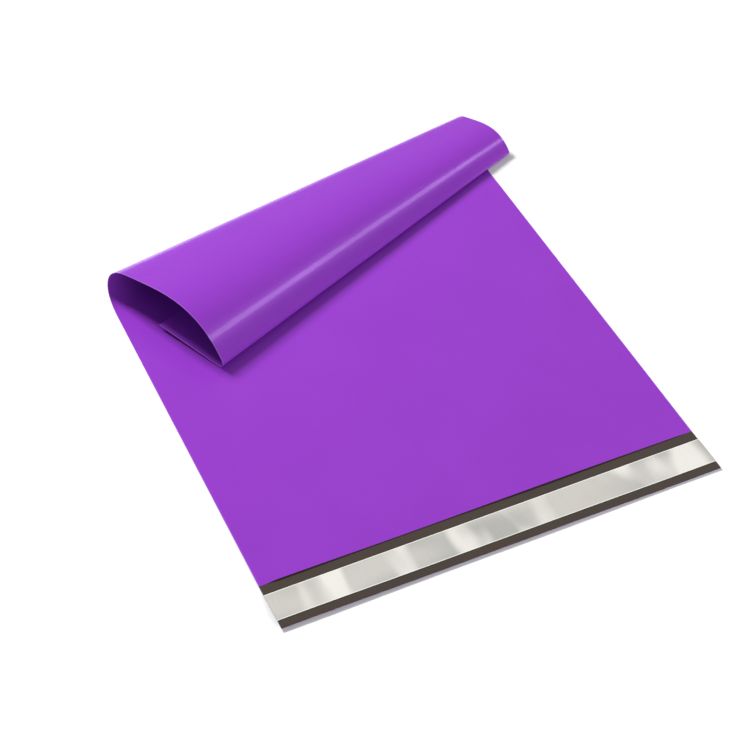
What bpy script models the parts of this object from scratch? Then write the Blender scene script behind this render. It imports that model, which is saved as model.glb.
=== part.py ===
"""Poly mailer bag, lying flat with its closed end rolled up and over onto itself.

The bag is one folded film: the back panel, which runs on past the mouth as the flap, the fold at the
bottom end, and the front panel. The film lies on the ground (z = 0) with the flap's edge along X and the
bag running back along +Y. The closed end is rolled. A flat sheet can only roll about straight lines, and
here those lines all pass through one point of the ground, so the roll is a cone that narrows to the right.

Metres, +Z up. The origin is the flap's front left corner until the last step, which moves everything so
that the origin is below the middle of the whole bag.
"""

import math
from typing import NamedTuple

import bmesh
import bpy
from mathutils import Quaternion, Vector

# The bag, as it lies flat.
BAG_WIDTH = 0.380
BODY_LENGTH = 0.600
FLAP_LENGTH = 0.0445
FILM = 0.00007
POCKET_GAP = 0.0004
WELD_WIDTH = 0.004
POCKET_RAMP = 0.012
BOTTOM_FOLD = 0.003

# The strips on the flap. Each rests on the one below with a hair of clearance.
CLEARANCE = 0.0003
LINER_FRONT = 0.0079
LINER_WIDTH = 0.0269
LINER_THICKNESS = 0.00006
GLUE_WIDTH = 0.018
GLUE_THICKNESS = 0.00006
GLUE_END_MARGIN = 0.004

# The roll. Its straight lines pass through APEX, and the film leaves the ground at LIFT_OFF on its left
# edge. Angles along the film are measured about APEX, in radians, from the line where it leaves the ground.
APEX = Vector((0.7205, 0.5544, 0.0))
LIFT_OFF = 0.3606


class Bend(NamedTuple):
    """A stretch of film that turns by turn_degrees, most sharply at its centre."""

    centre: float
    half_width: float
    turn_degrees: float


BACK_BEND = Bend(0.0526, 0.0607, 169.2)
CROWN = Bend(0.2225, 0.1176, 80.0)
NOSE = Bend(0.2821, 0.0133, 113.8)
TUCK = Bend(0.3850, 0.0700, -2.5)
INNER_CURL = Bend(0.4470, 0.0340, 190.0)
BENDS = (BACK_BEND, CROWN, NOSE, TUCK, INNER_CURL)

# The mesh. A row of points is never more than this far from the next, and the film turns no more than this
# between two of them.
ROW_TURN = math.radians(11.0)
ROW_STEP = 0.028
SECTION_STEP = 0.0002
SECTION_END = 0.56
LAST_STRAIGHT_ROW = 0.335
CLOSING_ROWS = 18
COLUMNS_BETWEEN_RAMPS = 8
SMOOTH_BELOW = math.radians(30.0)

# Linear RGB colour and roughness of each piece.
FILM_PAINT = ((0.337, 0.070, 0.631), 0.35)
GLUE_PAINT = ((0.080, 0.065, 0.052), 0.50)
LINER_PAINT = ((0.640, 0.630, 0.600), 0.30)

FLAT_LENGTH = FLAP_LENGTH + BODY_LENGTH
LIFT_ANGLE = math.atan2(APEX.y - LIFT_OFF, APEX.x)


def curvature(angle):
    """Turning of the roll's section for each radian along the film."""
    total = 0.0
    for bend in BENDS:
        offset = (angle - bend.centre) / bend.half_width
        if abs(offset) < 1.0:
            hump = 0.5 * (1.0 + math.cos(math.pi * offset))
            total += math.radians(bend.turn_degrees) * hump / bend.half_width
    return total


def roll_section():
    """The roll's section as (direction from the apex, film normal) at every SECTION_STEP along the film."""
    radial = Vector((-math.cos(LIFT_ANGLE), -math.sin(LIFT_ANGLE), 0.0))
    along = Vector((-math.sin(LIFT_ANGLE), math.cos(LIFT_ANGLE), 0.0))
    normal = Vector((0.0, 0.0, 1.0))
    stations = [(radial.copy(), normal.copy())]
    for index in range(round(SECTION_END / SECTION_STEP)):
        bending = curvature((index + 0.5) * SECTION_STEP)
        spin = radial.cross(along) + bending * along.cross(normal)
        turn = Quaternion(spin.normalized(), spin.length * SECTION_STEP)
        for vector in (radial, along, normal):
            vector.rotate(turn)
        stations.append((radial.copy(), normal.copy()))
    return stations


SECTION = roll_section()


def place(x, y, height):
    """Where the film's point (x, y) goes, at this height above its lower face."""
    from_apex = Vector((x - APEX.x, y - APEX.y))
    angle = LIFT_ANGLE - math.atan2(-from_apex.y, -from_apex.x)
    if angle <= 0.0:
        return Vector((x, y, height))
    station = angle / SECTION_STEP
    index = min(int(station), len(SECTION) - 2)
    share = station - index
    radial = SECTION[index][0].lerp(SECTION[index + 1][0], share).normalized()
    normal = SECTION[index][1].lerp(SECTION[index + 1][1], share).normalized()
    return APEX + from_apex.length * radial + height * normal


def ruling(angle):
    """The film's straight line at this angle about the apex, as its y at the left and at the right edge."""
    slope = math.tan(LIFT_ANGLE - angle)
    return APEX.y - APEX.x * slope, APEX.y - (APEX.x - BAG_WIDTH) * slope


def rows_of_points():
    """The lines across the film that the mesh follows, each as its y at the left and at the right edge."""
    rows = [(0.0, 0.0), (FLAP_LENGTH, FLAP_LENGTH)]
    angle = 0.0
    turned = 0.0
    last = 0.0
    rows.append(ruling(angle))
    while angle < LAST_STRAIGHT_ROW:
        angle += SECTION_STEP
        turned += curvature(angle) * SECTION_STEP
        if turned >= ROW_TURN or angle - last >= ROW_STEP:
            rows.append(ruling(angle))
            turned = 0.0
            last = angle
    left, right = rows[-1]
    bottom = FLAT_LENGTH - BOTTOM_FOLD
    for index in range(1, CLOSING_ROWS + 1):
        share = index / CLOSING_ROWS
        rows.append((left + share * (bottom - left), right + share * (bottom - right)))
    rows.append((FLAT_LENGTH, FLAT_LENGTH))
    return rows


def columns_of_points():
    """The lines along the film that the mesh follows, each as (x, how far the pocket is open there)."""
    inner = WELD_WIDTH + POCKET_RAMP
    span = BAG_WIDTH - 2 * inner
    columns = [(0.0, 0.0), (WELD_WIDTH, 0.0)]
    for index in range(COLUMNS_BETWEEN_RAMPS + 1):
        columns.append((inner + span * index / COLUMNS_BETWEEN_RAMPS, POCKET_GAP))
    columns += [(BAG_WIDTH - WELD_WIDTH, 0.0), (BAG_WIDTH, 0.0)]
    return columns


class FilmMesh:
    """Builds the bag's film as one closed skin: outer faces, pocket, mouth and rims."""

    def __init__(self):
        self.mesh = bmesh.new()
        self.rows = rows_of_points()
        self.columns = columns_of_points()
        self.points = {}

    def vertex(self, row, column, height):
        """The mesh's point on this row and column, this far above the film's lower face."""
        key = (row, column, round(height, 9))
        if key not in self.points:
            left, right = self.rows[row]
            x = self.columns[column][0]
            y = left + (right - left) * x / BAG_WIDTH
            self.points[key] = self.mesh.verts.new(place(x, y, height))
        return self.points[key]

    def skin(self, rows, columns, height):
        """A face of the film over these rows and columns. height(row, column) is how high it is."""
        for row in rows:
            for column in columns:
                corners = [(row, column), (row, column + 1), (row + 1, column + 1), (row + 1, column)]
                self.mesh.faces.new([self.vertex(*corner, height(*corner)) for corner in corners])

    def rim(self, cells, low, high):
        """A narrow wall along a path of (row, column), from low(row, column) up to high(row, column)."""
        for start, end in zip(cells, cells[1:]):
            foot = [self.vertex(*start, low(*start)), self.vertex(*end, low(*end))]
            head = [self.vertex(*end, high(*end)), self.vertex(*start, high(*start))]
            self.mesh.faces.new(foot + head)

    def finish(self, name):
        """Points every face outwards, and turns what was built into an object."""
        bmesh.ops.recalc_face_normals(self.mesh, faces=self.mesh.faces)
        return object_of(self.mesh, name)


def object_of(mesh, name):
    """A new object in the scene that holds this bmesh."""
    data = bpy.data.meshes.new(name)
    mesh.to_mesh(data)
    mesh.free()
    item = bpy.data.objects.new(name, data)
    bpy.context.scene.collection.objects.link(item)
    return item


def bag_film():
    """The folded film: back panel and flap below, front panel above, open at the mouth."""
    film = FilmMesh()
    mouth = 1
    last_row = len(film.rows) - 1
    last_column = len(film.columns) - 1
    pocket_end = last_row - 1

    def floor(row, column):
        return 0.0

    def back_inside(row, column):
        return FILM

    def opening(row, column):
        return 0.0 if row >= pocket_end else film.columns[column][1]

    def front_inside(row, column):
        return FILM + opening(row, column)

    def front_outside(row, column):
        return 2 * FILM + opening(row, column)

    pocket_rows = range(mouth, pocket_end)
    pocket_columns = range(1, last_column - 1)
    film.skin(range(last_row), range(last_column), floor)
    film.skin(range(mouth), range(last_column), back_inside)
    film.skin(range(mouth, last_row), range(last_column), front_outside)
    film.skin(pocket_rows, pocket_columns, back_inside)
    film.skin(pocket_rows, pocket_columns, front_inside)

    film.rim([(0, column) for column in range(last_column + 1)], floor, back_inside)
    bottom = [(last_row, column) for column in range(last_column + 1)]
    film.rim(bottom, floor, back_inside)
    film.rim(bottom, back_inside, front_outside)
    film.rim([(mouth, column) for column in range(last_column + 1)], front_inside, front_outside)
    for column in (0, last_column):
        film.rim([(row, column) for row in range(last_row + 1)], floor, back_inside)
        film.rim([(row, column) for row in range(mouth, last_row + 1)], back_inside, front_outside)
    return film.finish("bag_film")


def strip(name, left, right, front, back, bottom, thickness):
    """A thin flat strip across the flap."""
    mesh = bmesh.new()
    bmesh.ops.create_cube(mesh, size=1.0)
    size = Vector((right - left, back - front, thickness))
    centre = Vector(((left + right) / 2, (front + back) / 2, bottom + thickness / 2))
    for vertex in mesh.verts:
        vertex.co = vertex.co * size + centre
    return object_of(mesh, name)


def adhesive_strip():
    """The band of hot-melt adhesive on the flap's inner face, under the middle of the liner."""
    front = LINER_FRONT + (LINER_WIDTH - GLUE_WIDTH) / 2
    return strip(
        "adhesive_strip",
        GLUE_END_MARGIN,
        BAG_WIDTH - GLUE_END_MARGIN,
        front,
        front + GLUE_WIDTH,
        FILM + CLEARANCE,
        GLUE_THICKNESS,
    )


def release_liner():
    """The silicone-coated strip that covers the adhesive and peels off before the flap is closed."""
    bottom = FILM + CLEARANCE + GLUE_THICKNESS + CLEARANCE
    back = LINER_FRONT + LINER_WIDTH
    return strip("release_liner", 0.0, BAG_WIDTH, LINER_FRONT, back, bottom, LINER_THICKNESS)


def paint(item, colour, roughness):
    """Gives an object its own plain material."""
    material = bpy.data.materials.new(item.name)
    material.use_nodes = True
    surface = material.node_tree.nodes["Principled BSDF"]
    surface.inputs["Base Color"].default_value = (*colour, 1.0)
    surface.inputs["Roughness"].default_value = roughness
    surface.inputs["Metallic"].default_value = 0.0
    material.diffuse_color = (*colour, 1.0)
    item.data.materials.append(material)


def centre_on_origin(items):
    """Moves the pieces together so that the origin is on the ground below the middle of their box."""
    points = [vertex.co for item in items for vertex in item.data.vertices]
    middle_x = (min(point.x for point in points) + max(point.x for point in points)) / 2
    middle_y = (min(point.y for point in points) + max(point.y for point in points)) / 2
    for item in items:
        for vertex in item.data.vertices:
            vertex.co -= Vector((middle_x, middle_y, 0.0))


def main():
    for item in list(bpy.data.objects):
        bpy.data.objects.remove(item)
    film = bag_film()
    glue = adhesive_strip()
    liner = release_liner()
    paint(film, *FILM_PAINT)
    paint(glue, *GLUE_PAINT)
    paint(liner, *LINER_PAINT)
    film.data.shade_smooth()
    film.data.set_sharp_from_angle(angle=SMOOTH_BELOW)
    centre_on_origin((film, glue, liner))


main()
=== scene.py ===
"""Looks of the poly mailer bag: the rolled film, the glue band and the release liner on its flap.

The bag lies on a white floor with its flap open towards the viewer. Its closed end is rolled up and over
onto itself, wide at the left and narrow at the right. Lengths are in metres and +Z is up.
"""

import logging
import math
from dataclasses import dataclass, field
from enum import Enum

import bpy
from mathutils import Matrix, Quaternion, Vector


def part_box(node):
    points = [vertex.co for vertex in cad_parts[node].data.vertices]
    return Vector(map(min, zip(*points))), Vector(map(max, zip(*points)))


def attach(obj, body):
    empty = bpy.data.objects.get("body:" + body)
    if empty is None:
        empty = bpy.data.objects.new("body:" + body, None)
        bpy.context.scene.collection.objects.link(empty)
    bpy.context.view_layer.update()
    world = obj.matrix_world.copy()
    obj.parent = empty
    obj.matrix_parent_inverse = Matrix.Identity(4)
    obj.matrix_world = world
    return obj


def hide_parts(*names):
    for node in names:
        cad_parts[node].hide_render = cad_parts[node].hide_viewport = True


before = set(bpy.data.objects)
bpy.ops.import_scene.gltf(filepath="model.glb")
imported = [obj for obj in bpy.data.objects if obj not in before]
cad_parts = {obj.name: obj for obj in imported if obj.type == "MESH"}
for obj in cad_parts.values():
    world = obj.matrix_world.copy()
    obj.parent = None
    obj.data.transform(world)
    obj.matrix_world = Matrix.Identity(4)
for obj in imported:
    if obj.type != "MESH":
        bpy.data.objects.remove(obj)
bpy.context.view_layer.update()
LOG = logging.getLogger("mailer_bag")

Colour = tuple[float, float, float, float]
Socket = bpy.types.NodeSocket
WHITE: Colour = (1.0, 1.0, 1.0, 1.0)
FLAT_MAP = "flat"
STREAK_TURN = math.radians(-24.0)
LINER_WIDTH = 0.0269
SMOOTH_BELOW = math.radians(50.0)
BAG_MIDDLE = Vector((0.19, 0.25, 0.0))
FLOOR_SIZE = 30.0
FLOOR_DROP = 0.0002

# From the flap's front left corner, in bag widths.
CAMERA_PLACE = Vector((-0.7461, -2.0591, 2.9691))
CAMERA_TARGET = Vector((0.4543, 0.5528, 0.0))


class Side(Enum):
    """The faces of the film and its cut edge, as material slots on the finished piece."""

    INNER = 0
    OUTER = 1
    EDGE = 2


# ---------------------------------------------------------------------------------------- finishes


class Shader:
    """A material's node tree, with short ways to add nodes and join them."""

    def __init__(self, name: str) -> None:
        """Starts an empty material.

        Args:
            name: The material's name.
        """
        self.material = bpy.data.materials.new(name)
        self.material.use_nodes = True
        self.tree = self.material.node_tree
        self.tree.nodes.clear()
        self.surface = self.tree.nodes.new("ShaderNodeBsdfPrincipled")
        output = self.tree.nodes.new("ShaderNodeOutputMaterial")
        self.tree.links.new(self.surface.outputs["BSDF"], output.inputs["Surface"])

    def set(self, **values: object) -> None:
        """Sets sockets of the shader itself, named with underscores for spaces."""
        for name, value in values.items():
            self.surface.inputs[name.replace("_", " ")].default_value = value

    def add(
        self, kind: str, sockets: dict[str, object] | None = None, **settings: object
    ) -> bpy.types.Node:
        """Adds a node.

        Args:
            kind: The node's type.
            sockets: Values, or outputs to link, by input name.
            settings: Properties of the node.

        Returns:
            The new node.
        """
        node = self.tree.nodes.new(kind)
        for name, value in settings.items():
            setattr(node, name, value)
        for name, value in (sockets or {}).items():
            self.feed(node.inputs[name], value)
        return node

    def feed(self, socket: Socket, value: object) -> None:
        """Links an output to a socket, or sets the socket to a value."""
        if isinstance(value, Socket):
            self.tree.links.new(value, socket)
        else:
            socket.default_value = value

    def drive(self, name: str, value: Socket) -> None:
        """Links an output to one of the shader's own sockets."""
        self.tree.links.new(value, self.surface.inputs[name])

    def flat_place(self, scale: tuple[float, float, float], turn: float = 0.0) -> Socket:
        """The place on the flat, unrolled piece, scaled and turned.

        Args:
            scale: How many units of the pattern there are in a metre, across and along.
            turn: How far the pattern is turned, in radians.

        Returns:
            The vector output.
        """
        where = self.add("ShaderNodeUVMap", uv_map=FLAT_MAP)
        mapping = self.add("ShaderNodeMapping", {"Vector": where.outputs["UV"]})
        mapping.inputs["Rotation"].default_value = (0.0, 0.0, turn)
        mapping.inputs["Scale"].default_value = scale
        return mapping.outputs["Vector"]

    def noise(self, place: Socket, detail: float, roughness: float = 0.5) -> Socket:
        """A noise of scale 1 over that place, as its factor output."""
        sockets = {"Vector": place, "Scale": 1.0, "Detail": detail, "Roughness": roughness}
        return self.add("ShaderNodeTexNoise", sockets).outputs["Fac"]

    def between(
        self, value: Socket, low: float, high: float, first: float, last: float
    ) -> Socket:
        """Maps a value from the range low..high to first..last, and stops at both ends."""
        sockets = {"Value": value, "From Min": low, "From Max": high, "To Min": first, "To Max": last}
        return self.add("ShaderNodeMapRange", sockets, interpolation_type="SMOOTHSTEP").outputs["Result"]

    def sum(self, first: Socket, second: object, operation: str = "ADD") -> Socket:
        """Adds two values, or joins them in another way that Math has."""
        node = self.add("ShaderNodeMath", operation=operation)
        self.feed(node.inputs[0], first)
        self.feed(node.inputs[1], second)
        return node.outputs[0]

    def mix(self, share: object, first: object, second: object) -> Socket:
        """Mixes two colours by a share from 0 to 1."""
        node = self.add("ShaderNodeMix", data_type="RGBA")
        self.feed(node.inputs["Factor"], share)
        self.feed(node.inputs[6], first)
        self.feed(node.inputs[7], second)
        return node.outputs[2]

    def bump(self, height: Socket, strength: float, distance: float) -> None:
        """Gives the shader a bump of that height map."""
        node = self.add("ShaderNodeBump", {"Height": height})
        node.inputs["Strength"].default_value = strength
        node.inputs["Distance"].default_value = distance
        self.drive("Normal", node.outputs["Normal"])


@dataclass(frozen=True)
class FilmFinish:
    """Polyethylene film: an even colour with faint draw lines, a tinted sheen, a thin clear skin and a
    painted highlight along both side edges.
    """

    name: str
    colour: Colour
    deep: Colour
    # edge is the paler colour of the painted highlight along both side edges.
    edge: Colour
    width: float
    sheen: Colour = WHITE
    roughness: float = 0.26
    skin: float = 0.20
    skin_roughness: float = 0.06

    def build(self) -> bpy.types.Material:
        """Makes the material."""
        shader = Shader(self.name)
        shader.set(Coat_Weight=self.skin, Coat_Roughness=self.skin_roughness, Coat_IOR=1.5)
        shader.set(IOR=1.50, Specular_IOR_Level=0.75, Specular_Tint=self.sheen)
        clouds = shader.noise(shader.flat_place((14.0, 9.0, 1.0)), 2.0)
        lines = shader.noise(shader.flat_place((420.0, 3.0, 1.0)), 3.0)
        grain = shader.noise(shader.flat_place((1300.0, 1100.0, 1.0)), 2.0)
        body = shader.mix(shader.between(clouds, 0.3, 0.7, 0.0, 1.0), self.colour, self.deep)
        weld = self.weld(shader)
        # Along both side edges the colour turns to the paler edge colour, a painted highlight for light
        # catching the hot-cut bead.
        shader.drive("Base Color", shader.mix(weld, body, self.edge))
        uneven = shader.between(clouds, 0.25, 0.75, self.roughness - 0.04, self.roughness + 0.05)
        shader.drive("Roughness", shader.sum(uneven, shader.sum(grain, 0.04, "MULTIPLY")))
        relief = shader.sum(shader.sum(lines, 0.45, "MULTIPLY"), shader.sum(grain, 0.35, "MULTIPLY"))
        shader.bump(relief, 0.10, 0.0002)
        return shader.material

    def weld(self, shader: Shader) -> Socket:
        """How much of the paler edge colour there is, from 0 to 1, along both side edges: a painted
        highlight for light catching the hot-cut bead.
        """
        where = shader.add("ShaderNodeUVMap", uv_map=FLAT_MAP)
        across = shader.add("ShaderNodeSeparateXYZ", {"Vector": where.outputs["UV"]}).outputs["X"]
        off_middle = shader.sum(shader.sum(across, self.width / 2, "SUBTRACT"), 0.0, "ABSOLUTE")
        return shader.between(off_middle, self.width / 2 - 0.0008, self.width / 2 - 0.0004, 0.0, 0.6)


@dataclass(frozen=True)
class CutEdgeFinish:
    """The cut edge of the film: duller than its faces, with faint specks."""

    name: str
    colour: Colour
    worn: Colour

    def build(self) -> bpy.types.Material:
        """Makes the material."""
        shader = Shader(self.name)
        shader.set(Roughness=0.35, IOR=1.48)
        specks = shader.noise(shader.flat_place((900.0, 900.0, 1.0)), 2.0)
        share = shader.between(specks, 0.35, 0.65, 0.0, 1.0)
        shader.drive("Base Color", shader.mix(share, self.colour, self.worn))
        return shader.material


@dataclass(frozen=True)
class GlueFinish:
    """Hot-melt adhesive: brown, tacky and a little ropy along the band."""

    name: str
    colour: Colour
    thin: Colour

    def build(self) -> bpy.types.Material:
        """Makes the material."""
        shader = Shader(self.name)
        shader.set(IOR=1.5)
        ropes = shader.noise(shader.flat_place((30.0, 900.0, 1.0)), 3.0)
        shader.drive("Base Color", shader.mix(ropes, self.colour, self.thin))
        shader.drive("Roughness", shader.between(ropes, 0.3, 0.7, 0.22, 0.5))
        shader.bump(ropes, 0.4, 0.0002)
        return shader.material


@dataclass(frozen=True)
class LinerFinish:
    """Silicone-coated release liner: silvery white, glossy, with broad slanting patches lightened by a
    painted highlight.
    """

    name: str
    colour: Colour
    grey: Colour
    painted_highlight: Colour
    edge: Colour
    width: float

    def build(self) -> bpy.types.Material:
        """Makes the material."""
        shader = Shader(self.name)
        shader.set(Coat_Weight=0.5, Coat_Roughness=0.10, IOR=1.45)
        slanting = shader.noise(shader.flat_place((26.0, 9.0, 1.0), STREAK_TURN), 1.5)
        threads = shader.noise(shader.flat_place((120.0, 26.0, 1.0), STREAK_TURN), 2.0)
        drift = shader.noise(shader.flat_place((9.0, 20.0, 1.0)), 1.0)
        body = shader.mix(shader.between(drift, 0.38, 0.62, 0.0, 1.0), self.colour, self.grey)
        # The slanting patches are lightened towards a painted highlight colour, standing in for reflections
        # off the slanting relief.
        body = shader.mix(shader.between(slanting, 0.50, 0.66, 0.0, 0.9), body, self.painted_highlight)
        where = shader.add("ShaderNodeUVMap", uv_map=FLAT_MAP)
        along = shader.add("ShaderNodeSeparateXYZ", {"Vector": where.outputs["UV"]}).outputs["Y"]
        off_middle = shader.sum(shader.sum(along, self.width / 2, "SUBTRACT"), 0.0, "ABSOLUTE")
        rim = shader.between(off_middle, self.width / 2 - 0.0009, self.width / 2 - 0.0005, 0.0, 0.8)
        shader.drive("Base Color", shader.mix(rim, body, self.edge))
        shader.drive("Roughness", shader.between(threads, 0.3, 0.7, 0.24, 0.38))
        relief = shader.sum(shader.sum(slanting, 0.8, "MULTIPLY"), shader.sum(threads, 0.05, "MULTIPLY"))
        shader.bump(relief, 0.25, 0.0006)
        return shader.material


@dataclass(frozen=True)
class FloorFinish:
    """A matt white floor."""

    name: str
    colour: Colour

    def build(self) -> bpy.types.Material:
        """Makes the material."""
        shader = Shader(self.name)
        shader.set(Base_Color=self.colour, Roughness=0.9, IOR=1.2)
        return shader.material


# ------------------------------------------------------------------------------------- the roll


@dataclass(frozen=True)
class Bend:
    """A stretch of film that turns by degrees, most sharply at its centre. Angles are about the apex."""

    centre: float
    half_width: float
    degrees: float

    def at(self, angle: float) -> float:
        """Turning for each radian along the film, at this angle."""
        offset = (angle - self.centre) / self.half_width
        if abs(offset) >= 1.0:
            return 0.0
        return math.radians(self.degrees) * 0.5 * (1.0 + math.cos(math.pi * offset)) / self.half_width


@dataclass
class Roll:
    """The way the film's closed end rolls. All its straight lines pass through one point, the apex.

    Places on the film are (x, y) on the flat bag, from the flap's front left corner.
    """

    apex: Vector = field(default_factory=lambda: Vector((0.7205, 0.5544, 0.0)))
    lift_off: float = 0.3606
    bends: tuple[Bend, ...] = (
        Bend(0.0526, 0.0607, 169.2),
        Bend(0.2225, 0.1176, 80.0),
        Bend(0.2821, 0.0133, 113.8),
        Bend(0.3850, 0.0700, -2.5),
        Bend(0.4470, 0.0340, 190.0),
    )
    step: float = 0.0002
    reach: float = 0.56
    stations: list[tuple[Vector, Vector]] = field(default_factory=list)

    def __post_init__(self) -> None:
        """Follows the film round the roll and keeps its direction from the apex and its normal."""
        self.lift_angle = math.atan2(self.apex.y - self.lift_off, self.apex.x)
        radial = Vector((-math.cos(self.lift_angle), -math.sin(self.lift_angle), 0.0))
        along = Vector((-math.sin(self.lift_angle), math.cos(self.lift_angle), 0.0))
        normal = Vector((0.0, 0.0, 1.0))
        self.stations.append((radial.copy(), normal.copy()))
        for index in range(round(self.reach / self.step)):
            bending = self.turning((index + 0.5) * self.step)
            spin = radial.cross(along) + bending * along.cross(normal)
            turn = Quaternion(spin.normalized(), spin.length * self.step)
            for vector in (radial, along, normal):
                vector.rotate(turn)
            self.stations.append((radial.copy(), normal.copy()))

    def turning(self, angle: float) -> float:
        """Turning of the film for each radian, at this angle about the apex."""
        return sum(bend.at(angle) for bend in self.bends)

    def angle_of(self, x: float, y: float) -> float:
        """The angle about the apex of a place on the film. It is 0 where the film leaves the floor."""
        return self.lift_angle - math.atan2(self.apex.y - y, self.apex.x - x)

    def place(self, x: float, y: float, height: float) -> Vector:
        """Where a place on the film goes.

        Args:
            x: Across the flat bag.
            y: Along the flat bag.
            height: How far above the film's lower face, on the side that faces up where it is flat.

        Returns:
            The point, measured from the flap's front left corner.
        """
        angle = self.angle_of(x, y)
        if angle <= 0.0:
            return Vector((x, y, height))
        station = angle / self.step
        index = min(int(station), len(self.stations) - 2)
        share = station - index
        radial = self.stations[index][0].lerp(self.stations[index + 1][0], share).normalized()
        normal = self.stations[index][1].lerp(self.stations[index + 1][1], share).normalized()
        distance = math.hypot(self.apex.x - x, self.apex.y - y)
        return self.apex + distance * radial + height * normal

    def line(self, angle: float, width: float) -> tuple[float, float]:
        """The straight line at this angle, as its y at the left and at the right edge of the bag."""
        slope = math.tan(self.lift_angle - angle)
        return self.apex.y - self.apex.x * slope, self.apex.y - (self.apex.x - width) * slope


def smooth(value: float, low: float, high: float) -> float:
    """Rises smoothly from 0 at low to 1 at high."""
    share = min(1.0, max(0.0, (value - low) / (high - low)))
    return share * share * (3.0 - 2.0 * share)


@dataclass
class Lie:
    """How the limp film lies: the faint swells that a light sheet keeps, as heights above the floor."""

    roll: Roll
    flap: float
    swell: float = 0.00030
    roll_swell: float = 0.00030
    flap_lift: float = 0.0020

    def height(self, x: float, y: float) -> float:
        """The film's extra height at a place on the flat bag. It is never below 0, and 0 below the roll."""
        angle = self.roll.angle_of(x, y)
        in_front = 1.0 - smooth(angle, -0.205, -0.160)
        in_roll = smooth(angle, 0.05, 0.10)
        long_wave = 0.5 + 0.5 * math.sin(17.0 * x + 9.0 * y + 0.7) * math.cos(11.0 * y - 5.0 * x)
        cross_wave = 0.5 + 0.5 * math.sin(41.0 * x - 23.0 * y + 2.1)
        waves = 0.7 * long_wave + 0.3 * cross_wave
        towards_edge = 1.0 - smooth(y, 0.0, self.flap)
        ripple = 0.7 + 0.3 * math.sin(21.0 * x + 0.9) * math.cos(7.0 * x + 0.4)
        swells = (self.swell * in_front + self.roll_swell * in_roll) * waves
        return swells + self.flap_lift * towards_edge * ripple


# ------------------------------------------------------------------------------------- the pieces


def deselect_all() -> None:
    """Leaves nothing selected, in object mode."""
    if bpy.context.object and bpy.context.object.mode != "OBJECT":
        bpy.ops.object.mode_set(mode="OBJECT")
    bpy.ops.object.select_all(action="DESELECT")


def make_active(piece: bpy.types.Object) -> None:
    """Selects one object only and makes it the active one."""
    deselect_all()
    piece.select_set(True)
    bpy.context.view_layer.objects.active = piece


def apply_modifiers(piece: bpy.types.Object) -> None:
    """Applies every modifier on a piece, in order."""
    make_active(piece)
    for modifier in list(piece.modifiers):
        bpy.ops.object.modifier_apply(modifier=modifier.name)


@dataclass
class Sheet:
    """A thin sheet that is cut flat as a grid of rows and columns and then laid in place.

    Places on it are (across, along), in metres, and they are kept in the UV map named flat.
    """

    name: str
    thickness: float
    columns: list[float]
    rows: list[list[float]]

    def cut(self) -> bpy.types.Object:
        """Makes the flat grid, with its points still in a plane.

        Returns:
            The new object. Its points are in row order.
        """
        deselect_all()
        bpy.ops.mesh.primitive_grid_add(
            x_subdivisions=len(self.columns) - 1,
            y_subdivisions=len(self.rows) - 1,
            size=1.0,
            location=(0.0, 0.0, 0.0),
        )
        piece = bpy.context.object
        piece.name = self.name
        piece.data.name = self.name
        piece.data.uv_layers[0].name = FLAT_MAP
        return piece

    def cell(self, index: int) -> tuple[int, int]:
        """The row and the column of a point of the grid."""
        return divmod(index, len(self.columns))

    def map_flat(self, piece: bpy.types.Object) -> None:
        """Writes each point's place on the flat sheet to the UV map."""
        layer = piece.data.uv_layers[FLAT_MAP].data
        for loop in piece.data.loops:
            row, column = self.cell(loop.vertex_index)
            layer[loop.index].uv = (self.columns[column], self.rows[row][column])

    def thicken(self, piece: bpy.types.Object, finishes: list[bpy.types.Material]) -> None:
        """Gives the sheet its thickness, the same on both sides, and its finishes.

        Args:
            piece: The laid sheet.
            finishes: The materials of its upper side as it was cut, its lower side and its edge, or one
                for all.
        """
        for finish in finishes:
            piece.data.materials.append(finish)
        solid = piece.modifiers.new("thickness", "SOLIDIFY")
        solid.thickness = self.thickness
        solid.offset = 0.0
        solid.use_even_offset = False
        if len(finishes) > 1:
            solid.material_offset = Side.OUTER.value
            solid.material_offset_rim = Side.EDGE.value
        apply_modifiers(piece)
        bpy.ops.object.shade_smooth_by_angle(angle=SMOOTH_BELOW)


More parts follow.
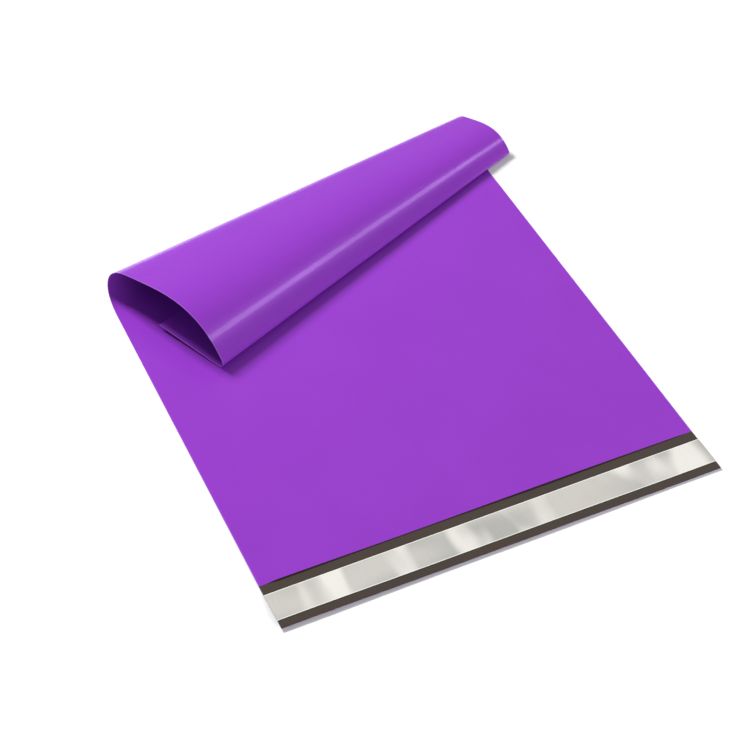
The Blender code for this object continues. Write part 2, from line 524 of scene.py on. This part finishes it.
@dataclass
class BagFilm:
    """The bag's film: one sheet with the flap, the back panel and, folded over it, the front panel."""

    roll: Roll
    corner: Vector
    width: float = 0.380
    body: float = 0.600
    flap: float = 0.0445
    thickness: float = 0.00007
    pocket_gap: float = 0.0004
    weld: float = 0.004
    weld_ramp: float = 0.012
    bead: float = 0.00014
    mouth_lift: float = 0.0007
    last_straight: float = 0.335
    most_turn: float = math.radians(3.2)
    most_step: float = 0.0062
    closing_rows: int = 56
    fold_radius: float = 0.00016

    def __post_init__(self) -> None:
        """Works out the lines that the grid follows on the flat bag."""
        self.length = self.flap + self.body
        self.lie = Lie(self.roll, self.flap)
        self.across = self.lines_along()
        self.lines = self.lines_across()

    def lines_along(self) -> list[float]:
        """The columns, as distances from the left edge, closer near the welds."""
        near = [0.0, 0.0003, 0.0007, 0.0012, 0.0026, 0.004, 0.0065, 0.010, 0.016]
        middle = 52
        span = self.width - 2.0 * near[-1]
        between = [near[-1] + span * index / middle for index in range(1, middle)]
        return near + between + [self.width - value for value in reversed(near)]

    def lines_across(self) -> list[tuple[float, float]]:
        """The rows on one panel, each as its y at the left and at the right edge."""
        rows = [(self.flap * index / 10.0,) * 2 for index in range(10)]
        rows += [(self.flap + offset,) * 2 for offset in (0.0, 0.0004, 0.0015, 0.004)]
        first = rows[-1]
        last = self.roll.line(0.0, self.width)
        flat_rows = 40
        for index in range(1, flat_rows + 1):
            share = index / flat_rows
            rows.append(tuple(start + share * (end - start) for start, end in zip(first, last)))
        rows += self.roll_rows()
        left, right = rows[-1]
        bottom = self.length - self.fold_radius
        for index in range(1, self.closing_rows + 1):
            share = index / self.closing_rows
            rows.append((left + share * (bottom - left), right + share * (bottom - right)))
        return rows

    def roll_rows(self) -> list[tuple[float, float]]:
        """The rows in the roll, one for each small turn or small step along the film."""
        rows = []
        angle = turned = last = 0.0
        while angle < self.last_straight:
            angle += self.roll.step
            turned += self.roll.turning(angle) * self.roll.step
            if turned >= self.most_turn or angle - last >= self.most_step:
                rows.append(self.roll.line(angle, self.width))
                turned, last = 0.0, angle
        return rows

    def mouth_row(self) -> int:
        """The row of the mouth, where the front panel ends."""
        return next(index for index, line in enumerate(self.lines) if line[0] >= self.flap - 1e-9)

    def sheet_rows(self) -> list[tuple[int | None, bool]]:
        """Every row of the cut sheet, as (its line, whether it is on the front panel). None is the fold."""
        back = [(index, False) for index in range(len(self.lines))]
        front = [(index, True) for index in range(len(self.lines) - 1, self.mouth_row() - 1, -1)]
        return back + [(None, False)] + front

    def flat_y(self, line: int | None, x: float) -> float:
        """How far up the flat bag a line is at x."""
        if line is None:
            return self.length
        left, right = self.lines[line]
        return left + (right - left) * x / self.width

    def gap(self, x: float, y: float) -> float:
        """How far the two panels stand apart at a place on the flat bag."""
        inside = min(x, self.width - x)
        opened = smooth(inside, self.weld, self.weld + self.weld_ramp)
        closed_end = smooth(self.length - y, 0.0, 0.006)
        mouth = self.mouth_lift * (1.0 - smooth(y, self.flap, self.flap + 0.030))
        puff = 0.5 + 0.5 * math.sin(26.0 * x + 1.4) * math.cos(14.0 * y)
        return self.pocket_gap * opened * closed_end + mouth * opened * puff + 0.00001

    def bead_height(self, x: float) -> float:
        """Height of the bead that the hot knife leaves along the side edges."""
        inside = min(x, self.width - x)
        return self.bead * smooth(inside, -0.0001, 0.0003) * (1.0 - smooth(inside, 0.0006, 0.0013))

    def middle_height(self, x: float, y: float, front: bool, fold: bool) -> float:
        """Height of the middle of the film above the back panel's lower face."""
        low = self.thickness / 2.0 + self.lie.height(x, y)
        if fold:
            return low + self.thickness / 2.0 + 0.5 * self.fold_radius
        if not front:
            return low
        near_fold = 1.0 - smooth(self.length - y, 0.0, 0.004)
        return low + self.thickness + self.gap(x, y) + self.bead_height(x) + self.fold_radius * near_fold

    def build(self) -> bpy.types.Object:
        """Cuts, folds and rolls the film.

        Returns:
            The finished piece.
        """
        order = self.sheet_rows()
        along = []
        for line, front in order:
            flat = [self.flat_y(line, x) for x in self.across]
            along.append([2.0 * self.length - y for y in flat] if front else flat)
        sheet = Sheet("bag_film_sheet", self.thickness, self.across, along)
        piece = sheet.cut()
        sheet.map_flat(piece)
        for vertex in piece.data.vertices:
            row, column = sheet.cell(vertex.index)
            line, front = order[row]
            x = self.across[column]
            y = self.flat_y(line, x)
            vertex.co = self.corner + self.roll.place(x, y, self.middle_height(x, y, front, line is None))
        sheet.thicken(piece, self.finishes())
        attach(piece, "root")
        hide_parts("bag_film")
        return piece

    def finishes(self) -> list[bpy.types.Material]:
        """The dark inside, the purple outside and the cut edge of the film."""
        purple = FilmFinish(
            "purple_film",
            colour=(0.240, 0.0360, 0.455, 1.0),
            deep=(0.232, 0.0340, 0.443, 1.0),
            # edge: paler colour along the side edges, a painted highlight on the hot-cut bead.
            edge=(0.420, 0.140, 0.640, 1.0),
            width=self.width,
            sheen=(0.58, 0.25, 0.95, 1.0),
        )
        dark = FilmFinish(
            "dark_film_inside",
            colour=(0.048, 0.035, 0.026, 1.0),
            deep=(0.043, 0.031, 0.023, 1.0),
            edge=(0.100, 0.080, 0.060, 1.0),
            # edge: paler colour along the side edges, a painted highlight on the hot-cut bead.
            width=self.width,
            roughness=0.40,
            skin=0.10,
        )
        edge = CutEdgeFinish("film_cut_edge", (0.200, 0.085, 0.290, 1.0), (0.280, 0.130, 0.370, 1.0))
        return [finish.build() for finish in (dark, purple, edge)]


@dataclass
class FlapStrip:
    """A strip along the flap: the glue band or the liner over it."""

    name: str
    node: str
    slot: str
    finish: GlueFinish | LinerFinish
    film: BagFilm
    left: float
    right: float
    front: float
    width: float
    bottom: float
    thickness: float
    ripple: float

    def build(self) -> bpy.types.Object:
        """Cuts the strip and lays it on the flap.

        Returns:
            The finished piece.
        """
        across = [self.left + (self.right - self.left) * index / 160.0 for index in range(161)]
        count = 14
        along = [[self.width * index / count] * len(across) for index in range(count + 1)]
        sheet = Sheet(self.name, self.thickness, across, along)
        piece = sheet.cut()
        sheet.map_flat(piece)
        for vertex in piece.data.vertices:
            row, column = sheet.cell(vertex.index)
            x = across[column]
            y = self.front + along[row][column]
            height = self.film.lie.height(x, y) + self.bottom + self.thickness / 2.0
            vertex.co = self.film.corner + Vector((x, y, height + self.swell(x, along[row][column])))
        sheet.thicken(piece, [self.finish.build()])
        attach(piece, "root")
        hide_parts(self.node)
        return piece

    def swell(self, x: float, y: float) -> float:
        """How far the strip stands off what it lies on: low slanting blisters."""
        inside = smooth(min(y, self.width - y), 0.0, 0.006)
        slanted = x + 0.6 * y
        wave = 0.5 + 0.5 * math.sin(330.0 * slanted + 2.0 * math.sin(61.0 * x)) * math.cos(47.0 * slanted)
        return self.ripple * inside * wave


# ------------------------------------------------------------------------------------- the studio


@dataclass
class Studio:
    """A white floor, soft light all round, softboxes behind and in front, and a strip for the nose."""

    middle: Vector
    camera_place: Vector
    target: Vector
    lens: float = 90.1

    def floor(self) -> None:
        """Lays the floor."""
        deselect_all()
        bpy.ops.mesh.primitive_plane_add(size=FLOOR_SIZE, location=(0.0, 0.0, -FLOOR_DROP))
        plane = bpy.context.object
        plane.name = "floor"
        plane.data.materials.append(FloorFinish("white_floor", (0.82, 0.82, 0.82, 1.0)).build())

    def world(self) -> None:
        """Fills the surroundings with even white light."""
        world = bpy.data.worlds.new("white_room")
        world.use_nodes = True
        back = world.node_tree.nodes["Background"]
        back.inputs["Color"].default_value = WHITE
        back.inputs["Strength"].default_value = 0.28
        bpy.context.scene.world = world

    def softbox(
        self, name: str, towards: Vector, distance: float, size: tuple[float, float], power: float
    ) -> bpy.types.Object:
        """Hangs a softbox that faces the middle of the bag.

        Args:
            name: The light's name.
            towards: The direction from the bag to the light.
            distance: How far off it is.
            size: Its width and height.
            power: Its power in watts.

        Returns:
            The light's object.
        """
        lamp = bpy.data.lights.new(name, "AREA")
        lamp.shape = "RECTANGLE"
        lamp.size, lamp.size_y = size
        lamp.energy = power
        holder = bpy.data.objects.new(name, lamp)
        bpy.context.scene.collection.objects.link(holder)
        holder.location = self.middle + towards.normalized() * distance
        holder.rotation_euler = towards.to_track_quat("Z", "Y").to_euler()
        return holder

    def camera(self) -> None:
        """Sets up the camera."""
        lens = bpy.data.cameras.new("camera")
        lens.lens = self.lens
        lens.sensor_width = 36.0
        lens.clip_start = 0.05
        lens.clip_end = 60.0
        holder = bpy.data.objects.new("camera", lens)
        bpy.context.scene.collection.objects.link(holder)
        holder.location = self.camera_place
        holder.rotation_euler = (self.target - self.camera_place).to_track_quat("-Z", "Y").to_euler()
        bpy.context.scene.camera = holder

    def build(self) -> None:
        """Builds the whole studio."""
        self.floor()
        self.world()
        key = self.softbox("back_key", Vector((-0.40, 0.90, 0.92)), 2.2, (0.5, 0.5), 68.0)
        key.visible_glossy = False
        front = self.softbox("front", Vector((0.50, -0.85, 0.36)), 2.0, (1.6, 0.6), 29.0)
        front.visible_glossy = False
        nose = self.softbox("nose_strip", Vector((0.690, -0.480, 0.66)), 1.6, (1.8, 0.22), 9.0)
        nose.visible_diffuse = False
        self.camera()
        bpy.context.scene.view_settings.view_transform = "Standard"


def main() -> None:
    """Builds the pieces in order and reports each."""
    logging.basicConfig(level=logging.INFO, format="%(name)s: %(message)s")
    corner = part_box("bag_film")[0].copy()
    corner.z = 0.0
    film = BagFilm(Roll(), corner)
    glue = FlapStrip(
        name="glue_band",
        node="adhesive_strip",
        slot="adhesive",
        finish=GlueFinish("brown_glue", (0.090, 0.062, 0.040, 1.0), (0.060, 0.044, 0.032, 1.0)),
        film=film,
        left=0.004,
        right=film.width - 0.004,
        front=0.01235,
        width=0.018,
        bottom=0.00010,
        thickness=0.00006,
        ripple=0.0,
    )
    liner = FlapStrip(
        name="liner_strip",
        node="release_liner",
        slot="liner",
        finish=LinerFinish(
            "silicone_liner",
            colour=(0.490, 0.476, 0.442, 1.0),
            grey=(0.370, 0.361, 0.336, 1.0),
            # The painted highlight colour of the liner's slanting patches.
            painted_highlight=(0.700, 0.688, 0.640, 1.0),
            edge=(0.780, 0.775, 0.730, 1.0),
            width=LINER_WIDTH,
        ),
        film=film,
        left=0.0,
        right=film.width,
        front=0.0079,
        width=LINER_WIDTH,
        bottom=0.00042,
        thickness=0.00006,
        ripple=0.00022,
    )
    for part in (film, glue, liner):
        piece = part.build()
        LOG.info("%s: %d faces", piece.name, len(piece.data.polygons))

    Studio(
        middle=corner + BAG_MIDDLE,
        camera_place=corner + film.width * CAMERA_PLACE,
        target=corner + film.width * CAMERA_TARGET,
    ).build()


if __name__ == "__main__":
    main()
